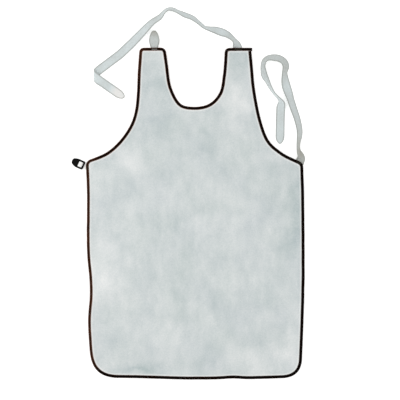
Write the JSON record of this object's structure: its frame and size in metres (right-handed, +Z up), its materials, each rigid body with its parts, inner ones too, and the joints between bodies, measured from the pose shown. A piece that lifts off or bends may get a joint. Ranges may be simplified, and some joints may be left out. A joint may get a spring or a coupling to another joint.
{
  "type": "leather welding apron",
  "caption": "Bib apron of pale split leather with a dark bound edge, neck strap and loop, waist strap and slide buckle, lying flat with its front up.",
  "frame": {"origin": "on the surface that the apron lies on, under the middle of the panel's back", "axes": "+Z up out of the front face, +Y towards the neck, +X to the side of the waist strap"},
  "size_m": [0.6415, 1.0207, 0.0238],
  "materials": {
    "panel_leather": "sueded pale grey split cowhide",
    "binding_leather": "smooth dark espresso leather strip",
    "strap_leather": "sueded pale grey split leather with raw edges",
    "tab_leather": "sueded off-white split leather",
    "buckle_plastic": "moulded black nylon"
  },
  "bodies": {
    "root": {"apron_panel": "panel_leather", "edge_binding": "binding_leather", "neck_strap": "strap_leather", "neck_loop": "strap_leather", "waist_strap": "strap_leather", "slide_buckle": "buckle_plastic", "buckle_tab": "tab_leather"}
  },
  "joints": []
}
